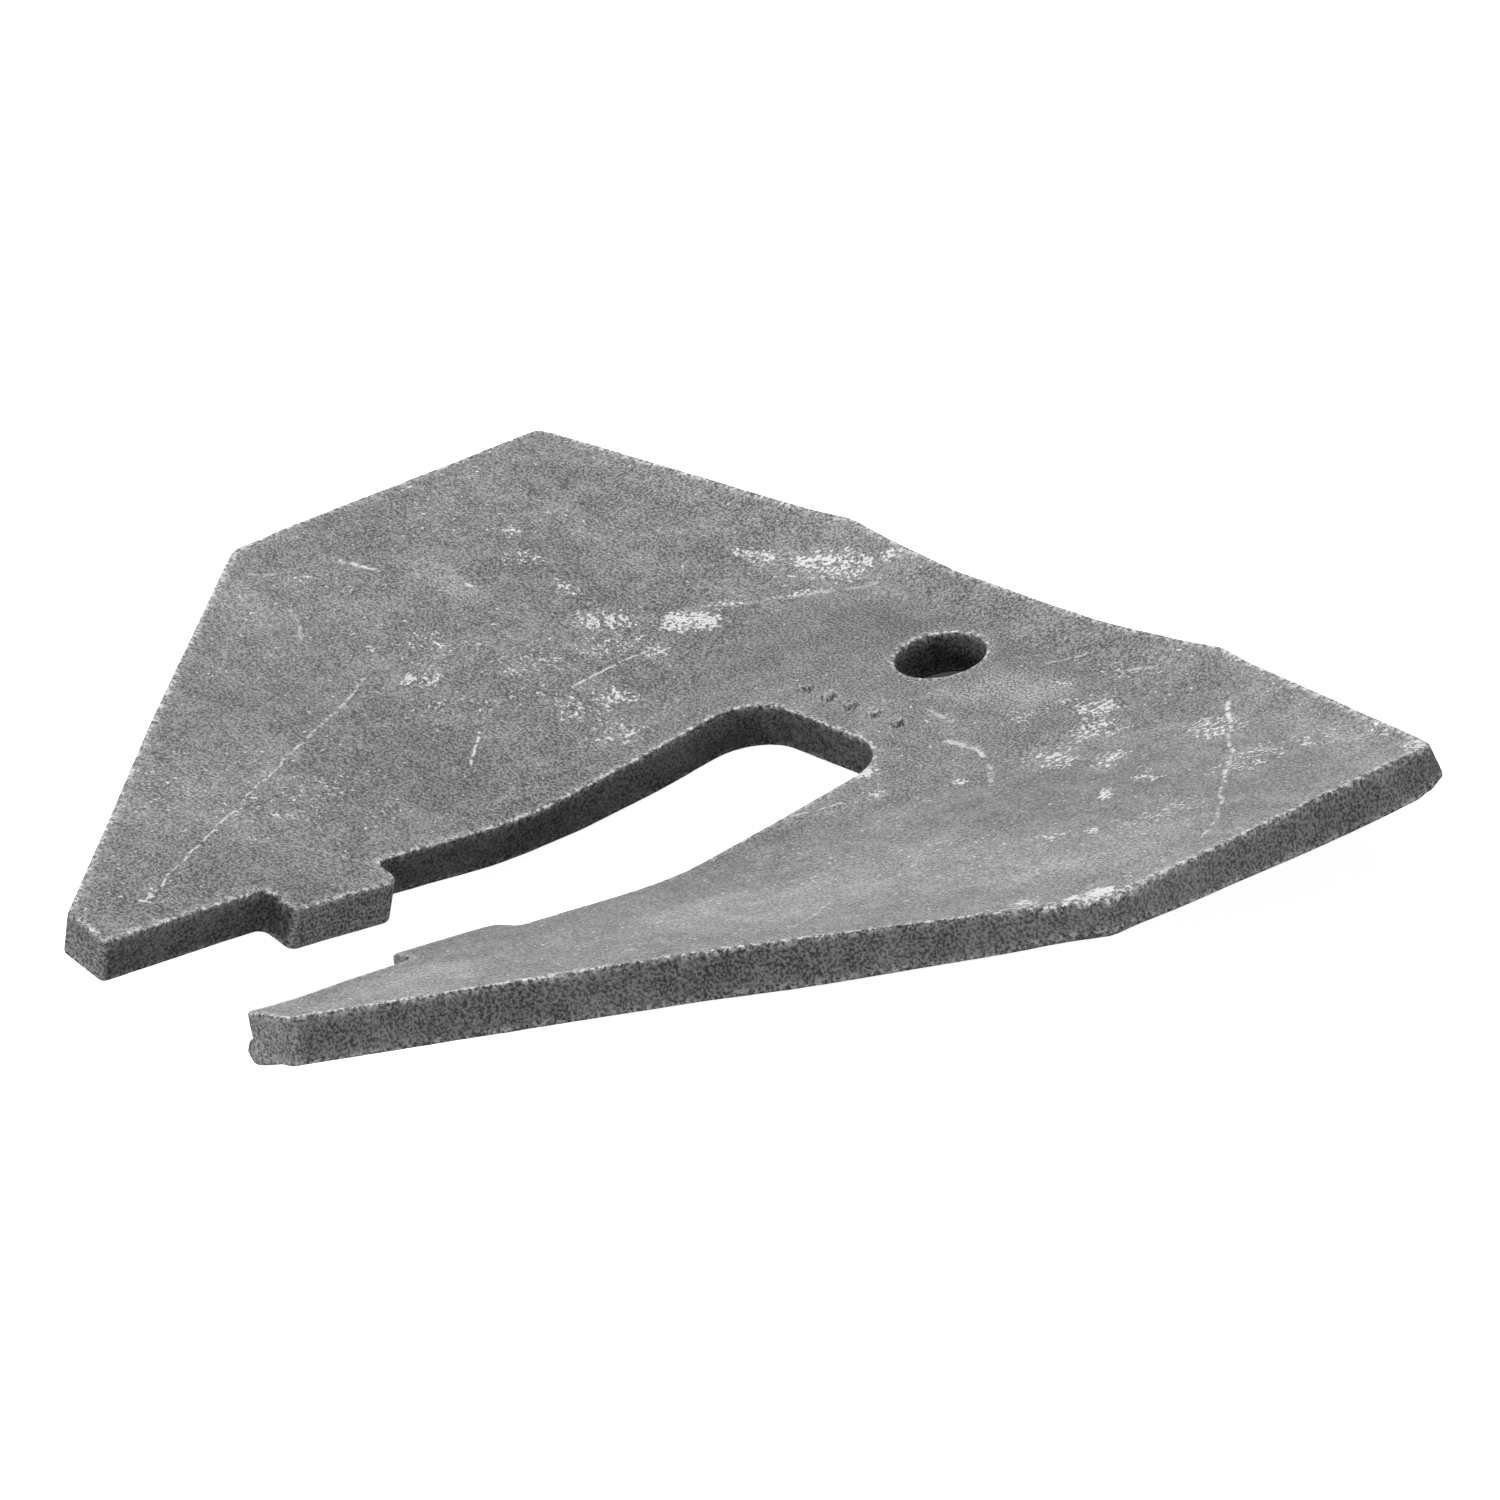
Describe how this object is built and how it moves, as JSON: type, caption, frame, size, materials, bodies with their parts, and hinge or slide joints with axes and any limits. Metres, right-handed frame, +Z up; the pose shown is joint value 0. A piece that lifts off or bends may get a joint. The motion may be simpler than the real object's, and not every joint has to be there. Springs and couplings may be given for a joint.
{
  "type": "slotted wing plate",
  "caption": "One-piece dished cast wear plate with two swept wings, an open centre slot with locating tabs and a bolt hole, for a ground-engaging tool.",
  "frame": {"origin": "under the middle of the plate's outline, on the plane that its flat floor lies on", "axes": "+X across the wings, +Y from the two prongs to the back edge, +Z up out of the dish"},
  "size_m": [0.206, 0.1687, 0.027],
  "materials": {
    "cast_iron": "bare sand-cast, fine even grain, lightly blasted, scuffed on the wings and worn bright along the edges"
  },
  "bodies": {
    "root": {"wing_plate": "cast_iron"}
  },
  "joints": []
}
